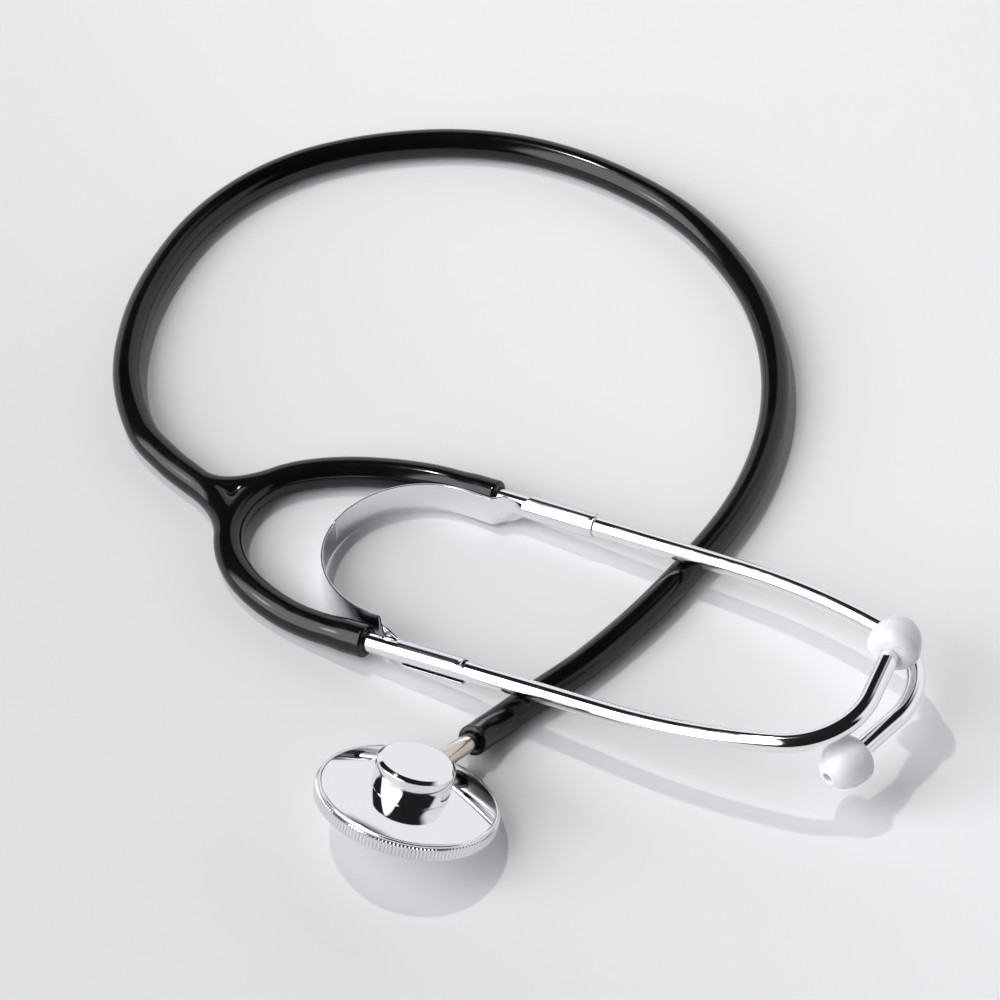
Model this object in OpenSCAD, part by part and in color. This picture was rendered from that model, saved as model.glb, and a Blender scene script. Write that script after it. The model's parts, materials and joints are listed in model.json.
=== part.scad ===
// Toy stethoscope with one chestpiece, one hose that forks in two, and a sprung pair of ear tubes.
// Millimetres, +Z up. It lies on a table whose top is z = 0.

/* [Chestpiece] */
// Outer diameter of the retaining ring, over the knurl
ring_d = 46; // [40:0.5:54]
// Height of the retaining ring
ring_h = 4.6; // [4.2:0.1:6]
// Wall of the retaining ring
ring_wall = 1.2; // [1:0.1:1.6]
// Thickness of the lip under the diaphragm
lip_t = 0.8; // [0.6:0.1:1]
// How far the lip reaches in under the diaphragm
lip_reach = 1.3; // [0.8:0.1:2]
// Height of the smooth edge above the knurled band
ring_edge_h = 0.8; // [0.5:0.1:1]
// Depth of the knurl grooves
knurl_depth = 0.35; // [0.2:0.05:0.5]
// Number of knurl teeth round the ring
knurl_count = 150; // [60:1:160]
// Thickness of the diaphragm
diaphragm_t = 0.4; // [0.2:0.05:0.6]
// Height of the plate's rim above the ring's bottom
plate_rim_z = 4.4; // [4:0.1:4.5]
// Height of the plate's top where it meets the hub
plate_top_z = 6.5; // [5.5:0.1:7]
// Thickness of the plate over the sound chamber
plate_t = 1.6; // [1.2:0.1:2]
// Diameter of the hub
hub_d = 19.6; // [16:0.2:22]
// Height of the hub above the plate
hub_h = 7.6; // [7.2:0.2:10]
// Bevel round the hub's top
hub_bevel = 1; // [0.4:0.1:1.4]
// Diameter of the hub's spigot in the plate
spigot_d = 8; // [6:0.2:10]
// Outer diameter of the stem
stem_d = 4.8; // [4.4:0.1:5]
// Bore of the stem
stem_bore = 3.2; // [2.4:0.1:3.4]
// Height of the stem's axis above the hub's foot
stem_rise = 2.7; // [2.6:0.1:4]
// Bare length of the stem between the hub and the hose
stem_bare = 17.7; // [14:0.1:22]

/* [Hose] */
// Outer diameter of the hose and its branches
hose_d = 8; // [7.6:0.1:8.4]
// Bore of the hose
hose_bore = 4.4; // [4:0.1:4.6]
// Length of hose pushed onto the stem
hose_grip = 5.5; // [5:0.1:6]
// Diameter of the swollen cuff on each ear tube
cuff_d = 8.8; // [8.4:0.1:9.2]
// Length of the swollen cuff
cuff_len = 12; // [10:0.5:14]

/* [Ear tubes] */
// Outer diameter of the ear tubes
tube_d = 5; // [4.8:0.05:5.2]
// Bore of the ear tubes
tube_bore = 3.4; // [3:0.1:3.8]
// Length of ear tube inside the cuff
tube_grip = 9; // [7:0.5:9.5]
// Straight length from the cuff to the gentle bend
tube_straight = 69; // [60:1:75]
// Radius of the gentle bend
gentle_r = 170; // [150:1:200]
// Angle of the gentle bend, degrees
gentle_angle = 15; // [12:0.5:16]
// Radius of the tight bend
tight_r = 20.5; // [18:0.5:22]
// Angle of the near tube's tight bend, degrees
right_bend_angle = 80.5; // [70:0.5:84]
// Angle of the far tube's tight bend, degrees
left_bend_angle = 92; // [85:0.5:96]
// Straight length from the tight bend to the ear tip
ear_straight = 13.5; // [12:0.5:16]
// Length of ear tube inside the ear tip
ear_grip = 6; // [4:0.5:7]

/* [Ear tips] */
// Diameter of an ear tip
tip_d = 13.4; // [11:0.1:13.8]
// Length of an ear tip
tip_len = 12; // [10:0.5:14]
// Height of the ear tip's widest place above its foot
tip_wide_z = 3.2; // [2:0.1:4]
// Diameter of the ear tip's foot
tip_foot_d = 8; // [7:0.1:10]
// Diameter of the sound hole in the nose
sound_hole_d = 2.6; // [1.6:0.1:3.2]

/* [Spring] */
// Width of the spring strip
strip_w = 9; // [7:0.1:9.2]
// Thickness of the spring strip
strip_t = 0.5; // [0.4:0.05:0.7]
// How far the legs of the U run inside the ear tubes' axes
leg_inset = 5.4; // [5.2:0.1:7]
// How far the middle of the U's round end lies behind the cuffs' mouths
bow_setback = 3; // [1:0.5:6]
// Length over which a leg steps out to its ear tube
joggle_len = 4; // [3:0.5:5]
// Distance from the cuff's mouth to the sleeve
sleeve_start = 9; // [7:0.5:12]
// Length of a sleeve
sleeve_len = 20; // [14:0.5:26]
// Length of the tapered neck between strip and sleeve
neck_len = 4; // [3:0.5:6]
// Width of the neck where it meets the sleeve
neck_w = 5; // [4:0.1:6]
// Width of the slit along a sleeve
slit_w = 4.4; // [2:0.1:5]

/* [Lie] */
// Plan point under the chestpiece's middle, along X
chest_x = -23.1; // [-26:0.1:-20]
// Plan point under the chestpiece's middle, along Y
chest_y = -113.7; // [-118:0.1:-112]
// Direction of the stem in plan, degrees
chest_yaw_angle = 56; // [54:0.5:58]
// Slope of the stem down to the hose, degrees
chest_pitch_angle = 21.5; // [18:0.5:22]
// Lean of the chestpiece about its stem, degrees
chest_roll_angle = 1; // [0:0.5:3]
// Mouth of the near cuff along X
right_x = -34; // [-36:0.1:-32]
// Mouth of the near cuff along Y
right_y = -56.2; // [-57:0.1:-55]
// Height of the near ear tube's axis at its cuff
right_z = 6.6; // [6.4:0.1:7]
// Direction of the near ear tube in plan, degrees
right_yaw_angle = -28.5; // [-29:0.1:-28]
// Rise of the near ear tube, degrees
right_pitch_angle = 7.8; // [7:0.1:9]
// Turn of the near ear tube's bends about its straight, degrees
right_roll_angle = 4; // [2:0.5:6]
// Mouth of the far cuff along X
left_x = -1.1; // [-2:0.1:1]
// Mouth of the far cuff along Y
left_y = -4.6; // [-6:0.1:-3]
// Height of the far ear tube's axis at its cuff
left_z = 5.9; // [5.8:0.1:6.2]
// Direction of the far ear tube in plan, degrees
left_yaw_angle = -27.4; // [-28.5:0.1:-27]
// Rise of the far ear tube, degrees
left_pitch_angle = 5.2; // [5.2:0.1:6]
// Turn of the far ear tube's bends about its straight, degrees
left_roll_angle = 2.5; // [1:0.5:3]
// Slope of the spring's plane along its legs, degrees
bow_pitch_angle = 3.2; // [2.6:0.1:3.6]
// Slope of the spring's plane across its legs, degrees
bow_roll_angle = -1.3; // [-2:0.1:-0.6]
// Height of the spring's middle line between the cuffs' mouths
bow_z = 6.5; // [6.3:0.1:7]
// Middle of the fork along X
fork_x = -66; // [-70:0.1:-62]
// Middle of the fork along Y
fork_y = -5; // [-8:0.1:-2]
// Distance from the fork's middle to its near collar
right_reach = 13; // [11:0.1:15]
// Direction from the fork's middle to its near collar, degrees
right_reach_angle = -107; // [-112:1:-102]
// Direction of the near branch at the collar, degrees
right_collar_angle = -90; // [-95:1:-85]
// Distance from the fork's middle to its far collar
left_reach = 11.7; // [10:0.1:14]
// Direction from the fork's middle to its far collar, degrees
left_reach_angle = 43; // [38:1:48]
// Direction of the far branch at the collar, degrees
left_collar_angle = 26; // [20:1:32]
// Distance from the fork's middle to the hose's collar
main_reach = 15; // [13:0.1:17]
// Direction from the fork's middle to the hose's collar, degrees
main_reach_angle = 150; // [145:1:155]
// Direction of the hose at the collar, degrees
main_collar_angle = 136; // [131:1:141]
// How far the fork's arms run on towards their middle before they turn
fork_run_in = 8; // [6:0.1:9]
// How far the near branch runs on before it turns
right_run_in = 15; // [12:0.1:18]
// How far the far branch runs on before it turns
left_run_in = 13; // [10:0.1:16]
// Plan point taken as the origin, along X
plan_x = 11.8; // [0:0.1:20]
// Plan point taken as the origin, along Y
plan_y = -62.6; // [-70:0.1:-50]

/* [Hidden] */
$fn = 64;

// How far every cut runs past the face it opens
overrun = 1;
// Radial clearance where one piece turns on another
turn_gap = 0.05;
// How far a fitting's end laps over the hose that runs on from it
seam_lap = 0.4;
// How much thinner the hose is than the fitting's end that laps over it
seam_step = 0.02;
// Gap between the spring strip and the tapered neck that carries it on
strip_gap = 0.6;
// Sides of the hose sweeps
hose_sides = 12;
// Sweep rings from one route point of the hose to the next
route_steps = 2;
// Sweep steps along a branch or an arm of the fork
swing_steps = 8;
// How much thinner an ear tube is drawn in each bend
bend_draw = 0.04;
// Length over which the bends and straights of an ear tube lap
bend_lap = 0.5;
// Steps round the spring's bow
bow_steps = 48;
// Steps along the ear tip's dome
dome_steps = 12;
// Steps round the ear tip's lower edge
edge_steps = 5;

// Chestpiece heights and radii
ring_r = ring_d / 2;
seat_r = ring_r - ring_wall;
knurl_root_r = ring_r - knurl_depth;
edge_r = knurl_root_r - knurl_depth / 2;
knurl_z = lip_t / 2;
knurl_h = ring_h - ring_edge_h - knurl_z;
diaphragm_z = lip_t + turn_gap;
plate_foot_z = diaphragm_z + diaphragm_t;
plate_r = seat_r - turn_gap;
chamber_r = plate_r - plate_t;
chamber_top_z = plate_top_z - plate_t;
stem_z = plate_top_z + stem_rise;
stem_reach = hub_d / 2 + stem_bare;
stem_end = stem_reach + hose_grip;

// Lie of the chestpiece: its lowest edge point touches the table
chest_angles = [chest_roll_angle, chest_pitch_angle, chest_yaw_angle];
chest_upright = cos(chest_pitch_angle) * cos(chest_roll_angle);
chest_at = [chest_x, chest_y, edge_r * sqrt(1 - chest_upright * chest_upright)];

// Lie of the two arms
right_at = [right_x, right_y, right_z];
left_at = [left_x, left_y, left_z];
right_angles = [right_roll_angle, -right_pitch_angle, right_yaw_angle];
left_angles = [left_roll_angle, -left_pitch_angle, left_yaw_angle];

// Lie of the spring, between the two arms
bow_yaw_angle = (right_yaw_angle + left_yaw_angle) / 2;
bow_angles = [bow_roll_angle, -bow_pitch_angle, bow_yaw_angle];
bow_at = [(right_x + left_x) / 2, (right_y + left_y) / 2, bow_z];
arm_step = left_at - right_at;
arm_half_gap = (arm_step.y * cos(bow_yaw_angle) - arm_step.x * sin(bow_yaw_angle)) / 2;
arm_lead = (arm_step.x * cos(bow_yaw_angle) + arm_step.y * sin(bow_yaw_angle)) / 2;
sleeve_bore_r = tube_d / 2 + turn_gap;
root_offset = sleeve_bore_r + turn_gap + strip_t / 2;
leg_y = arm_half_gap - leg_inset;
root_y = arm_half_gap - root_offset;
left_root_x = arm_lead + sleeve_start - neck_len - strip_gap;
right_root_x = left_root_x - 2 * arm_lead;

// Vector helpers
function unit(v) = v / norm(v);
function turn_x(v, a) = [v.x, v.y * cos(a) - v.z * sin(a), v.y * sin(a) + v.z * cos(a)];
function turn_y(v, a) = [v.x * cos(a) + v.z * sin(a), v.y, v.z * cos(a) - v.x * sin(a)];
function turn_z(v, a) = [v.x * cos(a) - v.y * sin(a), v.x * sin(a) + v.y * cos(a), v.z];
function turned(v, angles) = turn_z(turn_y(turn_x(v, angles.x), angles.y), angles.z);

// Where the hose takes over from the fittings, and which way it points there
stem_axis = turned([1, 0, 0], chest_angles);
hose_start = chest_at + turned([stem_end + seam_lap / 2, 0, stem_z], chest_angles);
right_axis = turned([1, 0, 0], right_angles);
left_axis = turned([1, 0, 0], left_angles);
right_cuff_back = right_at - (cuff_len + seam_lap / 2) * right_axis;
left_cuff_back = left_at - (cuff_len + seam_lap / 2) * left_axis;

// The fork's middle and its three collars, each with the direction that leads out of it
hose_r = hose_d / 2;
bore_r = hose_bore / 2;
run_r = hose_r - seam_step;
function heading(a) = [cos(a), sin(a), 0];
fork_at = [fork_x, fork_y, run_r];
right_collar = fork_at + right_reach * heading(right_reach_angle);
left_collar = fork_at + left_reach * heading(left_reach_angle);
main_collar = fork_at + main_reach * heading(main_reach_angle);
right_out = heading(right_collar_angle);
left_out = heading(left_collar_angle);
main_out = heading(main_collar_angle);

// Hose route in plan, from the stem round the loop to the fork
hose_plan = [
    [6, -75.5], [21.5, -61.5], [36.5, -44.5], [50, -26], [60.5, -9],
    [68, 9], [72.5, 29], [73, 50.5], [69, 71.5], [60.5, 90.5],
    [49.5, 106], [36, 118], [21.5, 127], [6, 133], [-10, 135.5],
    [-25.5, 135], [-41, 132], [-56.5, 126], [-70.5, 116], [-82.5, 102],
    [-91.5, 84.5], [-97.5, 64.5], [-99, 42.5], [-94.5, 22.5], [-87, 11]
];

// A hose never lies lower than the table lets it
function lying(p) = [p.x, p.y, max(p.z, run_r)];

// A run is a list of [place, heading] along a hose.
// This one leaves one place along a heading and arrives at another along a second heading.
function swing_place(a, b, c, d, f) =
    let (g = 1 - f)
    a * g * g * g + 3 * b * g * g * f + 3 * c * g * f * f + d * f * f * f;
function swing_slope(a, b, c, d, f) =
    let (g = 1 - f)
    (b - a) * g * g + 2 * (c - b) * g * f + (d - c) * f * f;
function swing_run(from, out, to, arrive, run_in) = [
    for (i = [0 : swing_steps])
        let (f = i / swing_steps)
        let (b = from + run_in * out)
        let (c = to - run_in * arrive)
        [lying(swing_place(from, b, c, to, f)), unit(swing_slope(from, b, c, to, f))]
];

// Smooth curve through all the points of a route
function route_point(p, i, f) =
    let (a = p[i - 1])
    let (b = p[i])
    let (c = p[i + 1])
    let (d = p[i + 2])
    (2 * b + (c - a) * f + (2 * a - 5 * b + 4 * c - d) * f * f + (3 * b - 3 * c + d - a) * f * f * f) / 2;
function route_run(p, out, arrive) =
    let (last = len(p) - 1)
    let (before = p[0] - norm(p[1] - p[0]) * out)
    let (after = p[last] + norm(p[last] - p[last - 1]) * arrive)
    let (all = [before, each p, after])
    let (c = [
        for (i = [1 : last]) for (s = [0 : route_steps - 1]) lying(route_point(all, i, s / route_steps)),
        p[last]
    ])
    [for (i = [0 : len(c) - 1])
        [c[i], i == 0 ? out : i == len(c) - 1 ? arrive : unit(c[i + 1] - c[i - 1])]];
function run_length(run, i = 0) =
    i + 1 < len(run) ? norm(run[i + 1][0] - run[i][0]) + run_length(run, i + 1) : 0;

hose_route = [hose_start, for (p = hose_plan) [p.x, p.y, run_r], main_collar];
main_run = route_run(hose_route, stem_axis, -main_out);
stub_run = swing_run(main_collar, -main_out, fork_at, -heading(main_reach_angle), main_reach / 3);
fork_run = swing_run(right_collar, -right_out, left_collar, left_out, fork_run_in);
right_run = swing_run(right_collar, right_out, right_cuff_back, right_axis, right_run_in);
left_run = swing_run(left_collar, left_out, left_cuff_back, left_axis, left_run_in);
echo(hose_length = run_length(main_run) + hose_grip);
echo(right_branch_length = run_length(right_run) + cuff_len);
echo(left_branch_length = run_length(left_run) + cuff_len);

// Ring of points round one place on a run, and the triangles between two rings
function ring_points(at, r) =
    let (side = unit(cross(at[1], [0, 0, 1])))
    let (up = cross(side, at[1]))
    [for (k = [0 : hose_sides - 1])
        let (a = 360 * k / hose_sides)
        at[0] + r * (cos(a) * side + sin(a) * up)];
function band(i, j) = [
    for (k = [0 : hose_sides - 1])
        let (n = (k + 1) % hose_sides)
        let (a = i * hose_sides)
        let (b = j * hose_sides)
        each [[a + k, a + n, b + n], [a + k, b + n, b + k]]
];

// Hose with its bore: out along the wall and back along the bore
module hose(run) {
    count = len(run);
    polyhedron(
        [
            for (i = [0 : count - 1]) each ring_points(run[i], run_r),
            for (i = [0 : count - 1]) each ring_points(run[count - 1 - i], bore_r)
        ],
        [for (i = [0 : 2 * count - 1]) each band(i, (i + 1) % (2 * count))]
    );
}

// Solid rod along a run
module rod(run, r) {
    count = len(run);
    polyhedron(
        [for (i = [0 : count - 1]) each ring_points(run[i], r)],
        [
            for (i = [0 : count - 2]) each band(i, i + 1),
            [for (k = [0 : hose_sides - 1]) hose_sides - 1 - k],
            [for (k = [0 : hose_sides - 1]) (count - 1) * hose_sides + k]
        ]
    );
}

// A run with a little more at its start, or at both its ends, for a cut
function started_early(run) = [[run[0][0] - overrun * run[0][1], run[0][1]], each run];
function ended_late(run) =
    let (end = run[len(run) - 1])
    [each run, [end[0] + overrun * end[1], end[1]]];

// Frames that carry the pieces
module on_table() {
    translate([-plan_x, -plan_y, 0])
        children();
}
module on_chest() {
    on_table()
        translate(chest_at)
            rotate(chest_angles)
                children();
}
module on_right_arm() {
    on_table()
        translate(right_at)
            rotate(right_angles)
                children();
}
// The far arm is the near one mirrored, so that its bends turn the other way
module on_left_arm() {
    on_table()
        translate(left_at)
            rotate(left_angles)
                mirror([0, 1, 0])
                    children();
}
module along_x() {
    rotate([0, 90, 0])
        children();
}

// Frame at the end of a bend that starts along X and turns towards Y
module after_bend(r, a) {
    translate([r * sin(a), r * (1 - cos(a)), 0])
        rotate([0, 0, a])
            children();
}
module after_bends(bend_angle) {
    translate([tube_straight, 0, 0])
        after_bend(gentle_r, gentle_angle)
            after_bend(tight_r, bend_angle)
                children();
}
module rod_run(d, length) {
    along_x()
        cylinder(h = length, d = d);
}
module rod_bend(d, r, a) {
    translate([0, r, 0])
        rotate([0, 0, -90])
            rotate_extrude(angle = a)
                translate([r, 0])
                    circle(d = d);
}

// Chestpiece
module bell_plate() {
    color("silver")
        on_chest()
            rotate_extrude()
                polygon([
                    [spigot_d / 2, chamber_top_z],
                    [spigot_d / 2, plate_top_z],
                    [hub_d / 2, plate_top_z],
                    [plate_r, plate_rim_z],
                    [plate_r, plate_foot_z],
                    [chamber_r, plate_foot_z],
                    [hub_d / 2, chamber_top_z]
                ]);
}

module hub() {
    top_z = plate_top_z + hub_h;
    color("gainsboro")
        on_chest()
            difference() {
                union() {
                    rotate_extrude()
                        polygon([
                            [0, plate_top_z],
                            [hub_d / 2, plate_top_z],
                            [hub_d / 2, top_z - hub_bevel],
                            [hub_d / 2 - hub_bevel, top_z],
                            [0, top_z]
                        ]);
                    translate([0, 0, chamber_top_z])
                        cylinder(h = stem_z - chamber_top_z, d = spigot_d);
                }
                translate([0, 0, chamber_top_z - overrun])
                    cylinder(h = stem_z - chamber_top_z + overrun, d = stem_bore);
                translate([0, 0, stem_z])
                    along_x()
                        cylinder(h = hub_d / 2 + overrun, d = stem_d);
            }
}

module stem() {
    color("tan")
        on_chest()
            translate([stem_bore / 2, 0, stem_z])
                along_x()
                    difference() {
                        cylinder(h = stem_end - stem_bore / 2 - turn_gap, d = stem_d);
                        translate([0, 0, -overrun])
                            cylinder(h = stem_end + overrun, d = stem_bore);
                    }
}

module retaining_ring() {
    tooth_angle = 360 / knurl_count;
    color("lightgray")
        on_chest()
            difference() {
                union() {
                    translate([0, 0, knurl_z])
                        linear_extrude(knurl_h)
                            polygon([
                                for (k = [0 : knurl_count - 1]) each [
                                    knurl_root_r * [cos(k * tooth_angle), sin(k * tooth_angle)],
                                    ring_r * [cos((k + 1 / 2) * tooth_angle), sin((k + 1 / 2) * tooth_angle)]
                                ]
                            ]);
                    rotate_extrude()
                        polygon([
                            [0, 0],
                            [edge_r, 0],
                            [edge_r, ring_h - ring_edge_h / 2],
                            [edge_r - ring_edge_h / 2, ring_h],
                            [0, ring_h]
                        ]);
                }
                translate([0, 0, -overrun])
                    cylinder(h = ring_h + overrun, r = seat_r - lip_reach);
                translate([0, 0, lip_t])
                    cylinder(h = ring_h + overrun, r = seat_r);
            }
}

module diaphragm() {
    color("whitesmoke")
        on_chest()
            translate([0, 0, diaphragm_z])
                cylinder(h = diaphragm_t, r = plate_r);
}

// Hose, fork and branches
module main_tube() {
    socket_r = stem_d / 2 + turn_gap;
    color("#1c1c1e") {
        on_chest()
            translate([stem_reach, 0, stem_z])
                along_x()
                    rotate_extrude()
                        polygon([
                            [socket_r, 0],
                            [hose_r, 0],
                            [hose_r, hose_grip + seam_lap],
                            [bore_r + seam_step, hose_grip + seam_lap],
                            [bore_r + seam_step, hose_grip],
                            [socket_r, hose_grip]
                        ]);
        on_table()
            hose(main_run);
    }
}

module yoke() {
    color("#1c1c1e")
        on_table()
            difference() {
                union() {
                    rod(fork_run, run_r);
                    rod(stub_run, run_r);
                }
                rod(started_early(ended_late(fork_run)), bore_r);
                rod(started_early(stub_run), bore_r);
            }
}

// Swollen end of a branch, with its bore for the ear tube, along -X from the cuff's mouth
module cuff() {
    mouth_bevel = (cuff_d - hose_d) / 2;
    translate([-cuff_len, 0, 0])
        along_x()
            rotate_extrude()
                polygon([
                    [tube_d / 2, cuff_len - tube_grip],
                    [tube_d / 2, cuff_len],
                    [hose_r, cuff_len],
                    [cuff_d / 2, cuff_len - mouth_bevel],
                    [cuff_d / 2, cuff_len / 2],
                    [hose_r, 0],
                    [hose_r, -seam_lap],
                    [bore_r + seam_step, -seam_lap],
                    [bore_r + seam_step, cuff_len - tube_grip]
                ]);
}

module right_branch() {
    color("#1c1c1e") {
        on_right_arm()
            cuff();
        on_table()
            hose(right_run);
    }
}

module left_branch() {
    color("#1c1c1e") {
        on_left_arm()
            cuff();
        on_table()
            hose(left_run);
    }
}

// Spring strip: a half ring with two legs that step out to the ear tubes
function strip_edge(offset) = [
    [left_root_x, root_y + offset],
    [left_root_x - joggle_len, leg_y + offset],
    for (i = [0 : bow_steps])
        let (a = 90 + 180 * i / bow_steps)
        [(leg_y + offset) * cos(a) - bow_setback, (leg_y + offset) * sin(a)],
    [right_root_x - joggle_len, -leg_y - offset],
    [right_root_x, -root_y - offset]
];
module leaf_spring() {
    inner = strip_edge(-strip_t / 2);
    color("silver")
        on_table()
            translate(bow_at)
                rotate(bow_angles)
                    linear_extrude(strip_w, center = true)
                        polygon([
                            each strip_edge(strip_t / 2),
                            for (i = [1 : len(inner)]) inner[len(inner) - i]
                        ]);
}

// Rolled sleeve round an ear tube, with its tapered neck on the inner side and its slit on the outer
module sleeve() {
    sleeve_r = sleeve_bore_r + strip_t;
    translate([sleeve_start, 0, 0])
        along_x()
            linear_extrude(sleeve_len)
                difference() {
                    circle(r = sleeve_r);
                    circle(r = sleeve_bore_r);
                    translate([-slit_w / 2, -sleeve_r - overrun])
                        square([slit_w, sleeve_r + overrun]);
                }
    translate([sleeve_start, root_offset + strip_t / 2, 0])
        rotate([90, 0, 0])
            linear_extrude(strip_t)
                polygon([
                    [-neck_len, -strip_w / 2],
                    [0, -neck_w / 2],
                    [neck_len / 2, -neck_w / 2],
                    [neck_len / 2, neck_w / 2],
                    [0, neck_w / 2],
                    [-neck_len, strip_w / 2]
                ]);
}

module right_sleeve() {
    color("silver")
        on_right_arm()
            sleeve();
}

module left_sleeve() {
    color("silver")
        on_left_arm()
            sleeve();
}

// Rod with the two bends of an ear tube, longer at both ends by a given extra.
// Each bend is drawn a little thinner than what runs into it, so that the lengths lap cleanly.
module bent_rod(d, bend_angle, extra) {
    lap_angle = bend_lap / gentle_r * 180 / PI;
    translate([-tube_grip - extra, 0, 0])
        rod_run(d, tube_grip + tube_straight + bend_lap + extra);
    translate([tube_straight, 0, 0]) {
        rod_bend(d - bend_draw, gentle_r, gentle_angle + lap_angle);
        after_bend(gentle_r, gentle_angle)
            rod_bend(d - 2 * bend_draw, tight_r, bend_angle);
    }
    after_bends(bend_angle)
        translate([-bend_lap, 0, 0])
            rod_run(d, bend_lap + ear_straight + ear_grip + extra);
}
module ear_tube(bend_angle) {
    difference() {
        bent_rod(tube_d, bend_angle, 0);
        bent_rod(tube_bore, bend_angle, overrun);
    }
}

module right_ear_tube() {
    color("silver")
        on_right_arm()
            ear_tube(right_bend_angle);
}

module left_ear_tube() {
    color("silver")
        on_left_arm()
            ear_tube(left_bend_angle);
}

// Ear tip on the end of an ear tube
module ear_tip(bend_angle) {
    socket_r = tube_d / 2 + turn_gap;
    socket_depth = ear_grip + turn_gap;
    foot_r = tip_foot_d / 2;
    wide_r = tip_d / 2;
    dome_h = tip_len - tip_wide_z;
    nose_angle = acos(sound_hole_d / tip_d);
    after_bends(bend_angle)
        translate([ear_straight, 0, 0])
            along_x()
                rotate_extrude()
                    polygon([
                        [socket_r, socket_depth],
                        [socket_r, 0],
                        for (k = [0 : edge_steps - 1])
                            let (a = 90 * k / edge_steps)
                            [foot_r + (wide_r - foot_r) * sin(a), tip_wide_z * (1 - cos(a))],
                        for (k = [0 : dome_steps])
                            let (a = nose_angle * k / dome_steps)
                            [wide_r * cos(a), tip_wide_z + dome_h * sin(a)],
                        [sound_hole_d / 2, socket_depth]
                    ]);
}

module right_ear_tip() {
    color("white")
        on_right_arm()
            ear_tip(right_bend_angle);
}

module left_ear_tip() {
    color("white")
        on_left_arm()
            ear_tip(left_bend_angle);
}

bell_plate();
hub();
stem();
retaining_ring();
diaphragm();
main_tube();
yoke();
right_branch();
left_branch();
leaf_spring();
right_sleeve();
left_sleeve();
right_ear_tube();
left_ear_tube();
right_ear_tip();
left_ear_tip();
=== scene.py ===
"""Dresses the toy stethoscope: chestpiece, black hose, steel spring, chrome ear tubes and white ear tips."""

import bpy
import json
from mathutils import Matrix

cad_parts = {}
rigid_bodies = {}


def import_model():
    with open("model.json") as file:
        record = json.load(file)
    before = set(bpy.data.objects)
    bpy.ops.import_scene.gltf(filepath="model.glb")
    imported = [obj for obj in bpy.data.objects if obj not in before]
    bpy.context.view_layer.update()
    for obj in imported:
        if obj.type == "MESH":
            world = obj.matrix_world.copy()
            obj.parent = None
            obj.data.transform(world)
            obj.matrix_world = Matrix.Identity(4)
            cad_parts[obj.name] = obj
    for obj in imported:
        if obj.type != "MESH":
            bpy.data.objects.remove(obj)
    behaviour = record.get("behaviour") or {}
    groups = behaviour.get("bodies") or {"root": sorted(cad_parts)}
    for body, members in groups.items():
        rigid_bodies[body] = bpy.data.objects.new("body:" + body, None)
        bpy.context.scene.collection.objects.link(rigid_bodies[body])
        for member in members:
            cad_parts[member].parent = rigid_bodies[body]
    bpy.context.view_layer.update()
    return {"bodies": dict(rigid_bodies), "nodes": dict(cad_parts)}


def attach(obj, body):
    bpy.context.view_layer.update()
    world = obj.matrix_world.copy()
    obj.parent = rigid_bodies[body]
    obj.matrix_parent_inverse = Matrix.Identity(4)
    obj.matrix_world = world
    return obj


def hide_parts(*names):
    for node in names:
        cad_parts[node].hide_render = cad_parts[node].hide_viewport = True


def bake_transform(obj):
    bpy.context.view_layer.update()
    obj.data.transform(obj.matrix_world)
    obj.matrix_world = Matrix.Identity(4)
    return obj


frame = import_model()

import json
import math

import bmesh
import bpy
from bpy.props import FloatProperty, FloatVectorProperty, IntProperty, PointerProperty
from mathutils import Euler, Matrix, Vector

bl_info = {
    "name": "Toy Stethoscope",
    "version": (1, 0, 0),
    "blender": (4, 5, 0),
    "location": "View3D > Sidebar > Stethoscope",
    "description": "Builds the looks of a toy stethoscope around its CAD frame",
    "category": "Object",
}

# Where the table's own origin lies in the part's frame
TABLE_SHIFT = Vector((-0.0118, 0.0626, 0.0))

# Hose route in plan on the table, from the stem round the loop to the fork
HOSE_PLAN = [
    (0.006, -0.0755), (0.0215, -0.0615), (0.0365, -0.0445), (0.05, -0.026), (0.0605, -0.009),
    (0.068, 0.009), (0.0725, 0.029), (0.073, 0.0505), (0.069, 0.0715), (0.0605, 0.0905),
    (0.0495, 0.106), (0.036, 0.118), (0.0215, 0.127), (0.006, 0.133), (-0.01, 0.1355),
    (-0.0255, 0.135), (-0.041, 0.132), (-0.0565, 0.126), (-0.0705, 0.116), (-0.0825, 0.102),
    (-0.0915, 0.0845), (-0.0975, 0.0645), (-0.099, 0.0425), (-0.0945, 0.0225), (-0.087, 0.011),
]


def a_length(name, description, default):
    return FloatProperty(name=name, description=description, default=default, precision=5, unit="LENGTH")


def an_angle(name, description, degrees):
    return FloatProperty(name=name, description=description, default=math.radians(degrees), subtype="ANGLE")


def a_place(name, description, default):
    return FloatVectorProperty(
        name=name, description=description, default=default, precision=5, subtype="TRANSLATION"
    )


def a_turn(name, description, degrees):
    turn = tuple(math.radians(d) for d in degrees)
    return FloatVectorProperty(name=name, description=description, default=turn, subtype="EULER")


def a_colour(name, description, default):
    return FloatVectorProperty(
        name=name, description=description, default=default, min=0, max=1, subtype="COLOR"
    )


def a_share(name, description, default):
    return FloatProperty(name=name, description=description, default=default, min=0, max=1, subtype="FACTOR")


def a_level(name, description, default):
    return FloatProperty(name=name, description=description, default=default, min=0)


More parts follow.
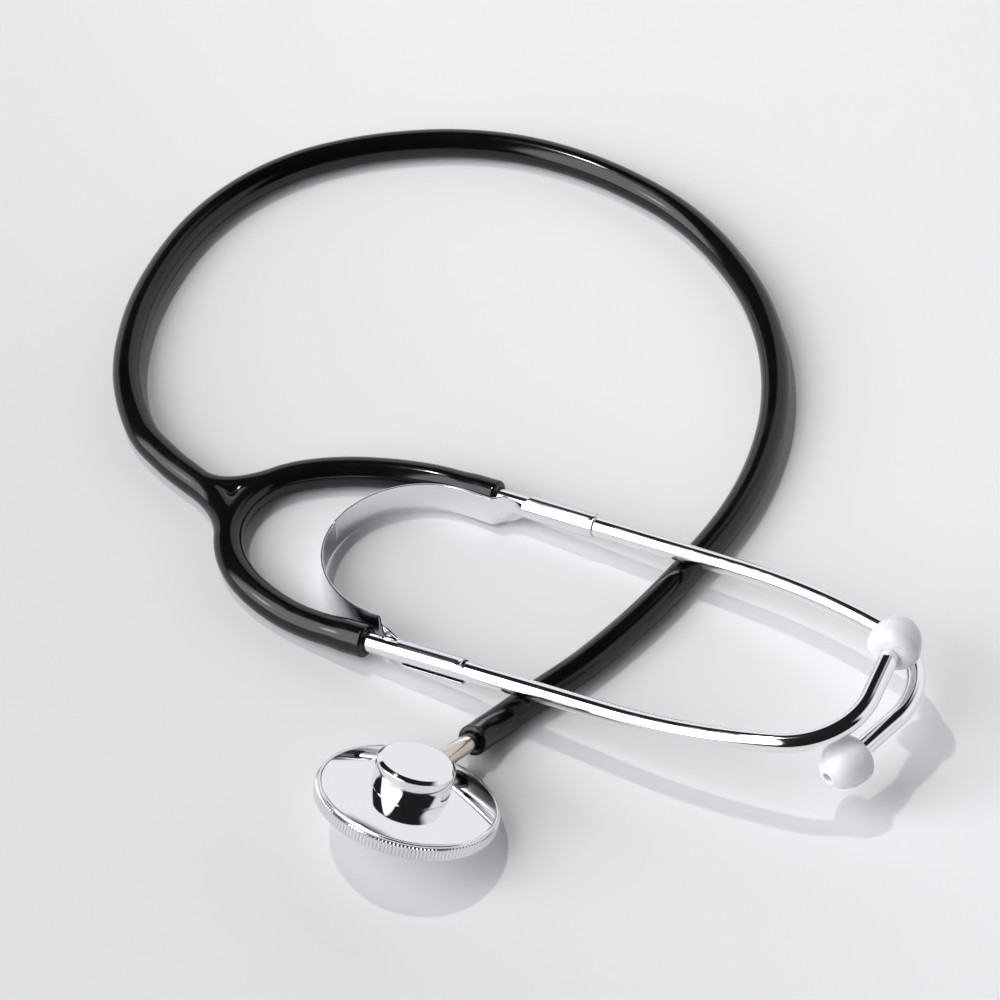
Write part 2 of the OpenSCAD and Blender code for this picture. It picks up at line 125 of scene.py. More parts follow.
class ChestpieceSizes(bpy.types.PropertyGroup):
    """Sizes of the chestpiece, heights measured from the ring's underside"""
    ring_radius: a_length("Ring radius", "Outer radius of the retaining ring over the knurl", 0.023)
    ring_height: a_length("Ring height", "Height of the retaining ring", 0.0046)
    ring_wall: a_length("Ring wall", "Wall of the retaining ring", 0.0012)
    lip_height: a_length("Lip height", "Thickness of the lip under the diaphragm", 0.0008)
    lip_reach: a_length("Lip reach", "How far the lip reaches in under the diaphragm", 0.0013)
    bead_height: a_length("Bead height", "Height of the smooth bead above the knurl", 0.0008)
    knurl_depth: a_length("Knurl depth", "Depth of the knurl grooves", 0.00035)
    knurl_count: IntProperty(name="Knurl teeth", description="Number of knurl teeth", default=150, min=30)
    running_gap: a_length("Running gap", "Clearance where one piece turns on another", 0.00005)
    film_thickness: a_length("Film thickness", "Thickness of the diaphragm", 0.0004)
    rim_height: a_length("Plate rim height", "Height of the plate's rim", 0.0044)
    top_height: a_length("Plate top height", "Height of the plate where it meets the hub", 0.0065)
    plate_wall: a_length("Plate wall", "Thickness of the plate over the sound chamber", 0.0016)
    hub_radius: a_length("Hub radius", "Radius of the hub", 0.0098)
    hub_height: a_length("Hub height", "Height of the hub above the plate", 0.0076)
    hub_bevel: a_length("Hub bevel", "Width of the bevel round the hub's top", 0.001)
    hub_drop: a_length("Hub drop", "Height of the bevel round the hub's top", 0.0007)
    spigot_radius: a_length("Spigot radius", "Radius of the hub's spigot in the plate", 0.004)
    stem_radius: a_length("Stem radius", "Outer radius of the stem", 0.0024)
    stem_bore: a_length("Stem bore", "Radius of the stem's bore", 0.0016)
    stem_rise: a_length("Stem rise", "Height of the stem's axis above the hub's foot", 0.0027)
    stem_bare: a_length("Bare stem", "Bare length of the stem between hub and hose", 0.0177)


class TubingSizes(bpy.types.PropertyGroup):
    """Sizes of the hose, its fork and its branches"""
    hose_radius: a_length("Hose radius", "Outer radius of the hose", 0.004)
    hose_grip: a_length("Hose grip", "Length of hose pushed onto the stem", 0.0055)
    hose_length: a_length("Hose length", "Length of the hose from the fork to its mouth", 0.489)
    cuff_radius: a_length("Cuff radius", "Radius of the swollen cuff on each ear tube", 0.0044)
    cuff_length: a_length("Cuff length", "Length of the swollen cuff", 0.012)
    mouth_round: a_length("Mouth rounding", "Rounding of a hose mouth's edge", 0.0005)
    fork_voxel: a_length("Fork grain", "Voxel size when the fork's arms are melted together", 0.00035)
    lap: a_length("Lap", "How far the fork's arms run on inside the hoses", 0.003)


class HeadsetSizes(bpy.types.PropertyGroup):
    """Sizes of the spring, the ear tubes and the ear tips"""
    tube_radius: a_length("Tube radius", "Outer radius of the ear tubes", 0.0025)
    tube_wall: a_length("Tube wall", "Wall of the ear tubes", 0.0008)
    tube_grip: a_length("Tube grip", "Length of ear tube inside the cuff", 0.009)
    tube_straight: a_length("Tube straight", "Straight length from the cuff to the gentle bend", 0.069)
    gentle_radius: a_length("Gentle bend radius", "Radius of the gentle bend", 0.17)
    gentle_bend: an_angle("Gentle bend", "Angle of the gentle bend", 15)
    tight_radius: a_length("Tight bend radius", "Radius of the tight bend", 0.0205)
    near_bend: an_angle("Near tight bend", "Angle of the near tube's tight bend", 80.5)
    far_bend: an_angle("Far tight bend", "Angle of the far tube's tight bend", 92)
    ear_straight: a_length("Ear straight", "Straight length from the tight bend to the ear tip", 0.0135)
    ear_grip: a_length("Ear grip", "Length of ear tube inside the ear tip", 0.006)
    tip_radius: a_length("Tip radius", "Radius of an ear tip", 0.0067)
    tip_length: a_length("Tip length", "Length of an ear tip", 0.012)
    tip_wide: a_length("Tip widest place", "Height of the ear tip's widest place above its foot", 0.0032)
    sound_hole: a_length("Sound hole radius", "Radius of the sound hole in the nose", 0.0013)
    strip_width: a_length("Strip width", "Width of the spring strip", 0.009)
    strip_thickness: a_length("Strip thickness", "Thickness of the spring strip", 0.0005)
    leg_inset: a_length("Leg inset", "How far the legs of the U run inside the ear tubes' axes", 0.0054)
    bow_setback: a_length("Bow setback", "How far the U's round end is centred behind the cuffs", 0.003)
    joggle: a_length("Joggle", "Length over which a leg steps out to its ear tube", 0.004)
    sleeve_start: a_length("Sleeve start", "Distance from the cuff's mouth to the sleeve", 0.009)
    sleeve_length: a_length("Sleeve length", "Length of a sleeve", 0.02)
    neck_length: a_length("Neck length", "Length over which the strip tapers to its neck", 0.004)
    neck_width: a_length("Neck width", "Width of the neck where it meets the sleeve", 0.005)
    shoulder: a_length("Shoulder length", "Length of the slanted edges with which a sleeve starts", 0.002)
    slit_width: a_length("Slit width", "Width of the slit along a sleeve", 0.0044)
    near_ease: a_share("Near sleeve ease", "How much looser than the tube the near sleeve is rolled", 0.18)
    far_ease: a_share("Far sleeve ease", "How much looser than the tube the far sleeve is rolled", 0.03)
    sleeve_bell: a_length("Sleeve bell", "How far a sleeve's end opens out", 0.0002)


class TableLie(bpy.types.PropertyGroup):
    """How the pieces lie on the table"""
    chest_place: a_place("Chestpiece", "Middle of the ring's underside", (-0.0231, -0.1137, 0.008245))
    chest_turn: a_turn("Chestpiece turn", "Lean, slope and direction of the chestpiece", (1, 21.5, 56))
    near_place: a_place("Near cuff", "Middle of the near cuff's mouth", (-0.034, -0.0562, 0.0066))
    near_turn: a_turn("Near arm turn", "Roll, rise and direction of the near ear tube", (4, -7.8, -28.5))
    far_place: a_place("Far cuff", "Middle of the far cuff's mouth", (-0.0011, -0.0046, 0.0059))
    far_turn: a_turn("Far arm turn", "Roll, rise and direction of the far ear tube", (2.5, -5.2, -27.4))
    bow_height: a_length("Bow height", "Height of the spring's middle line between the cuffs", 0.0065)
    bow_turn: a_turn("Bow turn", "Roll, rise and direction of the spring", (-1.3, -3.2, -27.95))
    fork_place: a_place("Fork", "Middle of the fork", (-0.066, -0.005, 0.00398))
    near_reach: a_length("Near reach", "Distance from the fork's middle to its near collar", 0.013)
    near_reach_angle: an_angle("Near collar place", "Direction from the fork to its near collar", -107)
    near_collar_angle: an_angle("Near collar heading", "Direction of the near branch at its collar", -90)
    far_reach: a_length("Far reach", "Distance from the fork's middle to its far collar", 0.0117)
    far_reach_angle: an_angle("Far collar place", "Direction from the fork to its far collar", 43)
    far_collar_angle: an_angle("Far collar heading", "Direction of the far branch at its collar", 26)
    main_reach: a_length("Hose reach", "Distance from the fork's middle to the hose's collar", 0.015)
    main_reach_angle: an_angle("Hose collar place", "Direction from the fork to the hose's collar", 150)
    main_collar_angle: an_angle("Hose collar heading", "Direction of the hose at its collar", 136)
    fork_run_in: a_length("Fork run-in", "How far the fork's arms run on before they turn", 0.008)
    near_run_in: a_length("Near run-in", "How far the near branch runs on before it turns", 0.015)
    far_run_in: a_length("Far run-in", "How far the far branch runs on before it turns", 0.013)


class Finishes(bpy.types.PropertyGroup):
    """Colours of the pieces and of the studio"""
    hose: a_colour("Hose", "Black of the hose", (0.003, 0.003, 0.0034))
    chrome: a_colour("Chrome", "Colour of the polished chrome", (0.86, 0.865, 0.875))
    ring: a_colour("Ring", "Colour of the knurled ring", (0.8, 0.8, 0.81))
    nickel: a_colour("Stem", "Colour of the drawn stem", (0.66, 0.59, 0.52))
    steel: a_colour("Spring", "Colour of the plated spring steel", (0.82, 0.83, 0.86))
    white: a_colour("Ear tips", "White of the ear tips", (0.73, 0.73, 0.755))
    film: a_colour("Diaphragm", "Colour of the diaphragm film", (0.78, 0.79, 0.79))
    floor: a_colour("Floor", "Colour of the pale table", (0.767, 0.776, 0.772))
    gloss: a_share("Hose roughness", "Middle roughness of the hose", 0.11)


class Studio(bpy.types.PropertyGroup):
    """Camera and light"""
    camera_place: a_place("Camera", "Where the camera stands", (0.0, -0.9126, 0.9287))
    camera_tilt: an_angle("Camera tilt", "How far the camera is lifted from looking straight down", 44.5)
    camera_lens: a_level("Lens", "Focal length in millimetres", 180)
    key_way: a_place("Key direction", "Direction from the table to the key lamp", (-0.29, 0.3, 1.0))
    lamp_distance: a_length("Lamp distance", "Distance to both lamps", 2.4)
    key_size: a_length("Key size", "Side of the key lamp's square face", 0.07)
    lamp_colour: a_colour("Lamp colour", "Faint warm tint of both lamps", (1.0, 0.975, 0.93))
    side_way: a_place("Side direction", "Direction from the table to the side lamp", (-1.0, -0.15, 0.62))
    side_size: a_length("Side size", "Side of the side lamp's square face", 0.35)
    side_power: a_level("Side power", "Power of the side lamp in watts", 4)
    key_power: a_level("Key power", "Power of the key lamp in watts", 13)
    window_light: a_level("Window light", "Brightness of the wide window on the left", 4.2)
    sweep_light: a_level("Sweep light", "Brightness of the pale backdrop", 0.95)
    room_light: a_level("Room light", "Brightness of the dim rest of the room", 0.015)


def settings():
    return bpy.context.scene.stethoscope


def placed(place, turn):
    """Matrix that lays an upright piece on the table."""
    return Matrix.Translation(Vector(place) + TABLE_SHIFT) @ Euler(turn, "XYZ").to_matrix().to_4x4()


def heading(angle):
    return Vector((math.cos(angle), math.sin(angle), 0.0))


def axis_of(place):
    return place.to_3x3() @ Vector((1.0, 0.0, 0.0))


# Routes


def swing(start, out, end, arrive, run_in, steps):
    """Points on a curve that leaves along one heading and arrives along another."""
    b, c = start + out * run_in, end - arrive * run_in
    points = []
    for i in range(steps + 1):
        f = i / steps
        g = 1 - f
        points.append(start * g**3 + b * 3 * g * g * f + c * 3 * g * f * f + end * f**3)
    return points


def lying(points, radius):
    """The same points, none lower than a hose on the table can be."""
    return [Vector((p.x, p.y, max(p.z, radius))) for p in points]


def smooth_route(points, out, arrive, steps):
    """Points on a smooth curve through a whole route."""
    before = points[0] - out * (points[1] - points[0]).length
    after = points[-1] + arrive * (points[-1] - points[-2]).length
    way = [before, *points, after]
    curve = []
    for a, b, c, d in zip(way, way[1:], way[2:], way[3:]):
        for s in range(steps):
            f = s / steps
            bend = (a * 2 - b * 5 + c * 4 - d) * f * f + (b * 3 - c * 3 + d - a) * f**3
            curve.append((b * 2 + (c - a) * f + bend) / 2)
    return curve + [points[-1]]


def ease_down(points, low):
    """The same route, eased from its slope at the start down to the height at which a hose lies."""
    first, second = points[0], points[1]
    slope = (first.z - second.z) / (second - first).xy.length
    drop = second.z - low
    reach = 2 * drop / slope
    eased = [first]
    for p in points[1:]:
        left = max(0.0, 1 - (p - second).xy.length / reach)
        eased.append(Vector((p.x, p.y, low + drop * left * left)))
    return eased


class Layout:
    """Frames and places that the pieces share."""

    def __init__(self):
        s = settings()
        chest, tubing, lie = s.chestpiece, s.tubing, s.lie
        self.chest = placed(lie.chest_place, lie.chest_turn)
        self.near = placed(lie.near_place, lie.near_turn)
        self.far = placed(lie.far_place, lie.far_turn)
        middle = (Vector(lie.near_place) + Vector(lie.far_place)) / 2
        middle.z = lie.bow_height
        self.bow = placed(middle, lie.bow_turn)
        self.stem_height = chest.top_height + chest.stem_rise
        self.mouth = self.chest @ Vector((chest.hub_radius + chest.stem_bare, 0.0, self.stem_height))
        self.stem_axis = axis_of(self.chest)
        fork = Vector(lie.fork_place) + TABLE_SHIFT
        self.fork_radius = fork.z
        self.near_collar = fork + heading(lie.near_reach_angle) * lie.near_reach
        self.far_collar = fork + heading(lie.far_reach_angle) * lie.far_reach
        self.main_collar = fork + heading(lie.main_reach_angle) * lie.main_reach
        self.near_out = heading(lie.near_collar_angle)
        self.far_out = heading(lie.far_collar_angle)
        self.main_out = heading(lie.main_collar_angle)
        self.cuff_back = {
            "near": self.near @ Vector((-tubing.cuff_length, 0.0, 0.0)),
            "far": self.far @ Vector((-tubing.cuff_length, 0.0, 0.0)),
        }


# Modelling helpers


def start_ring(name, sides, radius, height=0.0, filled=False):
    """Adds a ring of points round the upright axis and opens it for editing."""
    bpy.ops.object.select_all(action="DESELECT")
    fill = "NGON" if filled else "NOTHING"
    bpy.ops.mesh.primitive_circle_add(vertices=sides, radius=radius, fill_type=fill, location=(0, 0, 0))
    piece = bpy.context.object
    piece.name = piece.data.name = name
    bpy.ops.object.mode_set(mode="EDIT")
    bpy.ops.mesh.select_all(action="SELECT")
    if height:
        bpy.ops.transform.translate(value=(0, 0, height))
    return piece


def next_ring(step, scale, centre):
    """Extrudes the selected ring by a step and scales it about a centre."""
    bpy.ops.mesh.extrude_region_move(TRANSFORM_OT_translate={"value": tuple(step)})
    if abs(scale - 1) > 1e-9:
        bpy.ops.transform.resize(value=(scale, scale, scale), center_override=tuple(centre))


def turned(name, profile, sides, filled=False):
    """A piece turned from (radius, height) pairs, which is solid when filled, and else a closed loop."""
    radius, height = profile[0]
    piece = start_ring(name, sides, radius, height, filled)
    for (r0, h0), (r1, h1) in zip(profile, profile[1:]):
        next_ring((0, 0, h1 - h0), r1 / r0, (0, 0, h1))
    return piece


def pick(piece, test):
    """Selects the points of the open piece that pass a test on their place."""
    bpy.ops.mesh.select_all(action="DESELECT")
    mesh = bmesh.from_edit_mesh(piece.data)
    found = [v for v in mesh.verts if test(v.co)]
    for v in found:
        v.select_set(True)
    mesh.select_flush_mode()
    bmesh.update_edit_mesh(piece.data)
    if not found:
        raise RuntimeError(f"{piece.name}: nothing was found at the place to work on")


def tidy_mesh(piece):
    """Closes seams and turns every face outwards."""
    bpy.ops.object.mode_set(mode="EDIT")
    bpy.ops.mesh.select_all(action="SELECT")
    bpy.ops.mesh.remove_doubles(threshold=1e-6)
    bpy.ops.mesh.normals_make_consistent(inside=False)
    bpy.ops.object.mode_set(mode="OBJECT")


def use_only(piece):
    """Makes a piece the only selected one."""
    if bpy.context.object and bpy.context.object.mode != "OBJECT":
        bpy.ops.object.mode_set(mode="OBJECT")
    bpy.ops.object.select_all(action="DESELECT")
    piece.select_set(True)
    bpy.context.view_layer.objects.active = piece


def apply_modifier(piece, kind, **values):
    """Adds a modifier, sets it and applies it."""
    use_only(piece)
    bpy.ops.object.modifier_add(type=kind)
    modifier = piece.modifiers[-1]
    for key, value in values.items():
        setattr(modifier, key, value)
    bpy.ops.object.modifier_apply(modifier=modifier.name)


def round_edges(piece, width, segments=3, degrees=25):
    limit = math.radians(degrees)
    apply_modifier(piece, "BEVEL", width=width, segments=segments, limit_method="ANGLE", angle_limit=limit)


def lay(piece, place):
    """Moves an upright piece to its place, and puts the place into its mesh."""
    use_only(piece)
    piece.matrix_world = place
    bpy.ops.object.transform_apply(location=True, rotation=True, scale=True)


def finish_piece(piece, material, nodes, degrees=30):
    """Shades a piece, paints it and lets it stand for its CAD nodes."""
    use_only(piece)
    bpy.ops.object.shade_smooth_by_angle(angle=math.radians(degrees))
    piece.data.materials.clear()
    piece.data.materials.append(material)
    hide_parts(*nodes)
    return piece


def tube_along(name, points, radius, swell=None, caps=False):
    """A round tube along a list of points, each with its own share of the radius."""
    curve = bpy.data.curves.new(name, "CURVE")
    curve.dimensions = "3D"
    curve.twist_mode = "Z_UP"
    curve.bevel_depth = radius
    curve.bevel_resolution = 22
    curve.use_fill_caps = caps
    spline = curve.splines.new("POLY")
    spline.points.add(len(points) - 1)
    for i, (knot, point) in enumerate(zip(spline.points, points)):
        knot.co = (*point, 1.0)
        knot.radius = swell[i] if swell else 1.0
    piece = bpy.data.objects.new(name, curve)
    bpy.context.scene.collection.objects.link(piece)
    use_only(piece)
    bpy.ops.object.convert(target="MESH")
    piece = bpy.context.object
    piece.name = piece.data.name = name
    return piece


def roll_mouth(piece, centre, axis, radius, bore, rounding, depth):
    """Rounds the open end of a hose over into its bore."""
    use_only(piece)
    bpy.ops.object.mode_set(mode="EDIT")
    pick(piece, lambda p: abs((p - centre).dot(axis)) < 1e-5 and (p - centre).length < radius * 1.2)
    steps = 5
    at, r = 0.0, radius
    for k in range(1, 2 * steps + 1):
        turn = math.pi * k / (2 * steps)
        half = rounding if k <= steps else min(rounding, (radius - bore) / 2)
        if k <= steps:
            at2, r2 = half * math.sin(turn), radius - half * (1 - math.cos(turn))
        else:
            at2, r2 = half * math.sin(turn), bore + half * (1 + math.cos(turn))
        if k == steps + 1:
            flat = bore + half
            next_ring((0, 0, 0), flat / r, centre + axis * at)
            r = flat
        next_ring(axis * (at2 - at), r2 / r, centre + axis * at2)
        at, r = at2, r2
    next_ring(axis * (-depth - at), 1.0, centre)
    bpy.ops.object.mode_set(mode="OBJECT")
    tidy_mesh(piece)


# Materials


def new_material(name, colour, metallic, roughness):
    """A material with one plain shader, and its shader node and tree."""
    material = bpy.data.materials.new(name)
    material.use_nodes = True
    tree = material.node_tree
    shader = tree.nodes["Principled BSDF"]
    shader.inputs["Base Color"].default_value = (*colour, 1.0)
    shader.inputs["Metallic"].default_value = metallic
    shader.inputs["Roughness"].default_value = roughness
    return material, tree, shader


def add_node(tree, kind, values=None, **options):
    node = tree.nodes.new(kind)
    for key, value in options.items():
        setattr(node, key, value)
    for key, value in (values or {}).items():
        node.inputs[key].default_value = value
    return node


def part_coordinates(tree, place=None, stretch=(1.0, 1.0, 1.0)):
    """Places on the piece, measured in the frame that it was made in."""
    found = add_node(tree, "ShaderNodeTexCoord").outputs["Object"]
    if place is None:
        return found
    where, turn, _ = place.decompose()
    mapping = add_node(
        tree, "ShaderNodeMapping", {"Location": where, "Rotation": turn.to_euler("XYZ"), "Scale": stretch},
        vector_type="TEXTURE",
    )
    tree.links.new(found, mapping.inputs["Vector"])
    return mapping.outputs["Vector"]


def noise(tree, source, scale, detail=3.0, rough=0.5):
    node = add_node(tree, "ShaderNodeTexNoise", {"Scale": scale, "Detail": detail, "Roughness": rough})
    tree.links.new(source, node.inputs["Vector"])
    return node.outputs["Fac"]


def spread(tree, source, low, high, start=0.3, end=0.7):
    """Stretches a pattern between two values."""
    node = add_node(
        tree, "ShaderNodeMapRange", {"From Min": start, "From Max": end, "To Min": low, "To Max": high}
    )
    tree.links.new(source, node.inputs["Value"])
    return node.outputs["Result"]


def bump(tree, shader, height, strength, distance, under=None):
    node = add_node(tree, "ShaderNodeBump", {"Strength": strength, "Distance": distance})
    tree.links.new(height, node.inputs["Height"])
    if under is not None:
        tree.links.new(under, node.inputs["Normal"])
    tree.links.new(node.outputs["Normal"], shader.inputs["Normal"])
    return node.outputs["Normal"]


def colour_between(tree, shader, pattern, dark, light):
    ramp = add_node(tree, "ShaderNodeValToRGB")
    ramp.color_ramp.elements[0].position = 0.3
    ramp.color_ramp.elements[1].position = 0.7
    ramp.color_ramp.elements[0].color = (*dark, 1.0)
    ramp.color_ramp.elements[1].color = (*light, 1.0)
    tree.links.new(pattern, ramp.inputs["Fac"])
    tree.links.new(ramp.outputs["Color"], shader.inputs["Base Color"])


def shade(colour, share):
    return tuple(c * share for c in colour)


def hose_black():
    """Glossy black hose with a faint moulded ripple and a trace of handling, made once for all hoses."""
    made = bpy.data.materials.get("Hose Black")
    if made:
        return made
    finish = settings().finishes
    material, tree, shader = new_material("Hose Black", finish.hose, 0.0, finish.gloss)
    shader.inputs["Specular IOR Level"].default_value = 0.38
    where = part_coordinates(tree)
    cloud = noise(tree, where, 90.0, 4.0, 0.6)
    tree.links.new(spread(tree, cloud, finish.gloss - 0.04, finish.gloss + 0.07), shader.inputs["Roughness"])
    colour_between(tree, shader, noise(tree, where, 55.0), shade(finish.hose, 0.7), shade(finish.hose, 1.5))
    ripple = bump(tree, shader, noise(tree, where, 110.0, 1.0), 0.02, 0.0004)
    bump(tree, shader, noise(tree, where, 2600.0, 2.0), 0.03, 0.00004, ripple)
    return material


def tube_chrome():
    """Mirror chrome with small pits in the plating."""
    finish = settings().finishes
    material, tree, shader = new_material("Tube Chrome", finish.chrome, 1.0, 0.05)
    where = part_coordinates(tree)
    tree.links.new(spread(tree, noise(tree, where, 240.0, 4.0), 0.03, 0.09), shader.inputs["Roughness"])
    wave = bump(tree, shader, noise(tree, where, 60.0, 1.0), 0.05, 0.0006)
    cells = add_node(tree, "ShaderNodeTexVoronoi", {"Scale": 170.0})
    tree.links.new(where, cells.inputs["Vector"])
    pits = spread(tree, cells.outputs["Distance"], 0.0, 1.0, 0.02, 0.06)
    bump(tree, shader, pits, 0.35, 0.0001, wave)
    return material


def turned_chrome(name, colour, place, low, high, pitch, depth):
    """Chrome that shows the faint rings of the lathe round the chestpiece's axis."""
    material, tree, shader = new_material(name, colour, 1.0, low)
    where = part_coordinates(tree, place)
    tree.links.new(spread(tree, noise(tree, where, 300.0, 4.0), low, high), shader.inputs["Roughness"])
    flat = add_node(tree, "ShaderNodeVectorMath", {1: (1.0, 1.0, 0.0)}, operation="MULTIPLY")
    tree.links.new(where, flat.inputs[0])
    radius = add_node(tree, "ShaderNodeVectorMath", operation="LENGTH")
    tree.links.new(flat.outputs["Vector"], radius.inputs[0])
    rings = add_node(tree, "ShaderNodeTexNoise", {"Scale": 1.0 / pitch, "Detail": 2.0}, noise_dimensions="1D")
    tree.links.new(radius.outputs["Value"], rings.inputs["W"])
    bump(tree, shader, rings.outputs["Fac"], 0.25, depth)
    return material


def drawn_nickel(place):
    """Nickel with the fine draw lines of a pipe along its length."""
    finish = settings().finishes
    material, tree, shader = new_material("Drawn Nickel", finish.nickel, 1.0, 0.16)
    lines = noise(tree, part_coordinates(tree, place, (0.03, 0.0003, 0.0003)), 1.0, 2.0)
    tree.links.new(spread(tree, lines, 0.12, 0.22), shader.inputs["Roughness"])
    colour_between(tree, shader, lines, shade(finish.nickel, 0.9), shade(finish.nickel, 1.06))
    bump(tree, shader, lines, 0.1, 0.00002)
    return material


def spring_steel():
    """Bright plated strip with rolling lines along it."""
    finish = settings().finishes
    material, tree, shader = new_material("Spring Steel", finish.steel, 1.0, 0.13)
    uv = add_node(tree, "ShaderNodeUVMap", uv_map="UVMap")
    mapping = add_node(tree, "ShaderNodeMapping", {"Scale": (6.0, 90.0, 1.0)})
    tree.links.new(uv.outputs["UV"], mapping.inputs["Vector"])
    lines = noise(tree, mapping.outputs["Vector"], 1.0, 4.0)
    tree.links.new(spread(tree, lines, 0.08, 0.2), shader.inputs["Roughness"])
    wave = bump(tree, shader, noise(tree, part_coordinates(tree), 70.0, 1.0), 0.06, 0.0005)
    bump(tree, shader, lines, 0.06, 0.00005, wave)
    return material


def ear_tip_white():
    """Smooth white moulded plastic that lets a little light in."""
    finish = settings().finishes
    material, tree, shader = new_material("Ear Tip White", finish.white, 0.0, 0.26)
    shader.inputs["Subsurface Weight"].default_value = 0.12
    shader.inputs["Subsurface Radius"].default_value = (1.0, 1.0, 1.0)
    shader.inputs["Subsurface Scale"].default_value = 0.001
    where = part_coordinates(tree)
    tree.links.new(spread(tree, noise(tree, where, 220.0, 4.0), 0.2, 0.34), shader.inputs["Roughness"])
    colour_between(tree, shader, noise(tree, where, 120.0), shade(finish.white, 0.985), finish.white[:])
    bump(tree, shader, noise(tree, where, 1800.0, 2.0), 0.04, 0.00005)
    return material


def diaphragm_film():
    """Stiff satin film with a fine woven filler in it."""
    finish = settings().finishes
    material, tree, shader = new_material("Diaphragm Film", finish.film, 0.0, 0.4)
    where = part_coordinates(tree)
    fibres = noise(tree, where, 1500.0, 3.0, 0.7)
    colour_between(tree, shader, fibres, shade(finish.film, 0.94), finish.film[:])
    tree.links.new(spread(tree, fibres, 0.34, 0.48), shader.inputs["Roughness"])
    bump(tree, shader, fibres, 0.1, 0.00008)
    return material


def pale_table():
    """Matt table with painted shade: its colour is made a little darker towards the front left and lighter
    towards the back right, standing in for uneven light.
    """
    finish = settings().finishes
    material, tree, shader = new_material("Pale Table", finish.floor, 0.0, 0.75)
    shader.inputs["Specular IOR Level"].default_value = 0.08
    where = part_coordinates(tree)
    # Painted shade: a colour gradient across the table stands in for light falling off towards the front
    # left, with the table's faint random tone from the noise added on top.
    across = add_node(tree, "ShaderNodeVectorMath", {1: (1.0, 0.5, 0.0)}, operation="DOT_PRODUCT")
    tree.links.new(where, across.inputs[0])
    tone_and_painted_falloff = add_node(tree, "ShaderNodeMath", {1: 0.12}, operation="MULTIPLY_ADD")
    tree.links.new(noise(tree, where, 3.0), tone_and_painted_falloff.inputs[0])
    tree.links.new(spread(tree, across.outputs["Value"], 0.0, 0.88, -0.19, 0.19), tone_and_painted_falloff.inputs[2])
    # The dark and light ends of this ramp are painted shade and painted light on the table, not its own
    # colour.
    dark, light = shade(finish.floor, 0.92), shade(finish.floor, 1.06)
    colour_between(tree, shader, tone_and_painted_falloff.outputs["Value"], dark, light)
    return material


def studio_world():
    """A wide window on the left, a pale sweep low behind and on the right, and a dim room elsewhere."""
    studio = settings().studio
    world = bpy.data.worlds.new("Studio")
    world.use_nodes = True
    tree = world.node_tree
    background = tree.nodes["Background"]
    where = add_node(tree, "ShaderNodeSeparateXYZ")
    tree.links.new(add_node(tree, "ShaderNodeTexCoord").outputs["Generated"], where.inputs["Vector"])
    x, y, z = where.outputs

    def ease(source, start, end):
        limits = {"From Min": start, "From Max": end}
        node = add_node(tree, "ShaderNodeMapRange", limits, interpolation_type="SMOOTHSTEP")
        tree.links.new(source, node.inputs["Value"])
        return node.outputs["Result"]

    def combine(operation, a, b):
        node = add_node(tree, "ShaderNodeMath", operation=operation)
        for socket, value in zip(node.inputs, (a, b)):
            if isinstance(value, float):
                socket.default_value = value
            else:
                tree.links.new(value, socket)
        return node.outputs["Value"]

    wide = combine("MULTIPLY", ease(y, -0.86, -0.76), ease(y, 0.24, 0.08))
    tall = combine("MULTIPLY", ease(x, -0.33, -0.43), ease(z, 0.02, 0.1))
    window = combine("MULTIPLY", combine("MULTIPLY", wide, tall), studio.window_light)
    slanted = combine("SUBTRACT", z, combine("MULTIPLY", x, 0.5))
    behind = combine("MULTIPLY", ease(y, 0.2, 0.6), ease(slanted, 0.66, 0.58))
    right = combine("MULTIPLY", ease(x, 0.55, 0.75), ease(y, -0.4, -0.2))
    wall = combine("MULTIPLY", right, ease(z, 0.75, 0.55))
    sweep = combine("MULTIPLY", combine("MAXIMUM", behind, wall), studio.sweep_light)
    light = combine("ADD", combine("MAXIMUM", window, sweep), studio.room_light)
    seen = add_node(tree, "ShaderNodeLightPath").outputs["Is Camera Ray"]
    mix = add_node(tree, "ShaderNodeMix", {"B": 0.8})
    tree.links.new(seen, mix.inputs["Factor"])
    tree.links.new(light, mix.inputs["A"])
    tree.links.new(mix.outputs["Result"], background.inputs["Strength"])
    background.inputs["Color"].default_value = (0.95, 0.948, 1.0, 1.0)
    bpy.context.scene.world = world


# Operators


class STETHOSCOPE_OT_stage(bpy.types.Operator):
    """Sets the pale table, the studio light and the camera"""
    bl_idname = "stethoscope.stage"
    bl_label = "Set the Stage"

    def execute(self, context):
        studio = settings().studio
        kept = (*frame["nodes"].values(), *frame["bodies"].values())
        for other in [o for o in bpy.data.objects if o not in kept]:
            bpy.data.objects.remove(other)
        context.scene.view_settings.view_transform = "Standard"
        bpy.ops.mesh.primitive_plane_add(size=8.0, location=(0, 0, 0))
        table = context.object
        table.name = "Table"
        table.data.materials.append(pale_table())
        self.hang_lamp("Key", studio.key_way, studio.key_size, studio.key_power)
        self.hang_lamp("Side", studio.side_way, studio.side_size, studio.side_power)
        bpy.ops.object.camera_add(
            location=Vector(studio.camera_place) + TABLE_SHIFT, rotation=(studio.camera_tilt, 0, 0)
        )
        camera = context.object
        camera.name = "Camera"
        camera.data.lens = studio.camera_lens
        camera.data.sensor_width = 36.0
        context.scene.camera = camera
        studio_world()
        return {"FINISHED"}

    def hang_lamp(self, name, way, size, power):
        way = Vector(way).normalized()
        bpy.ops.object.light_add(type="AREA", location=way * settings().studio.lamp_distance)
        lamp = bpy.context.object
        lamp.name = name
        lamp.rotation_euler = (-way).to_track_quat("-Z", "Y").to_euler()
        lamp.data.size = size
        lamp.data.energy = power
        lamp.data.color = settings().studio.lamp_colour


